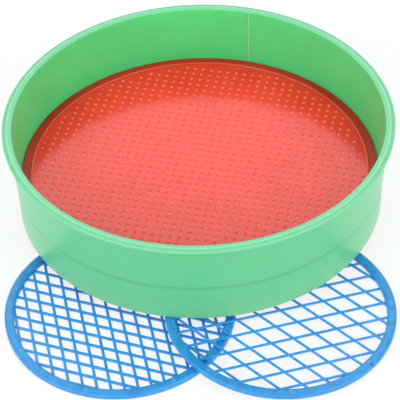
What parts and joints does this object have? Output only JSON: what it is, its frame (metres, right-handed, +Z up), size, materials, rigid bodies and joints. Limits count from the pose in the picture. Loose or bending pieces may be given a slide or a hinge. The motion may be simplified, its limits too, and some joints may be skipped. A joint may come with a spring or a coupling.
{
  "type": "sand sieve",
  "caption": "Round toy sand sieve: a lipped moulded ring with a drop-in perforated screen, set down on its loose diamond-mesh grids.",
  "frame": {"origin": "centre of the bounding box, on the table that the set stands on", "axes": "+Z up, -Y to the front where the loose grids stick out, +X to the right of the ring seen from the front"},
  "size_m": [0.23, 0.2822, 0.0659],
  "materials": {
    "green_plastic": "semi-gloss moulded polypropylene",
    "red_plastic": "glossy moulded polypropylene",
    "blue_plastic": "semi-gloss moulded polypropylene"
  },
  "bodies": {
    "frame": {"sieve_frame": "green_plastic"},
    "screen": {"fine_screen": "red_plastic"},
    "medium": {"medium_grid": "blue_plastic"},
    "coarse": {"coarse_grid": "blue_plastic"}
  },
  "joints": [
    {"name": "screen_lift", "type": "slide", "parent": "frame", "child": "screen", "axis": [0, 0.0403, 0.9992], "range_m": [0, 0.08]},
    {"name": "medium_pull", "type": "slide", "parent": "frame", "child": "medium", "axis": [0, -1, 0], "range_m": [0, 0.11]},
    {"name": "coarse_pull", "type": "slide", "parent": "frame", "child": "coarse", "axis": [0, -1, 0], "range_m": [0, 0.11]}
  ]
}
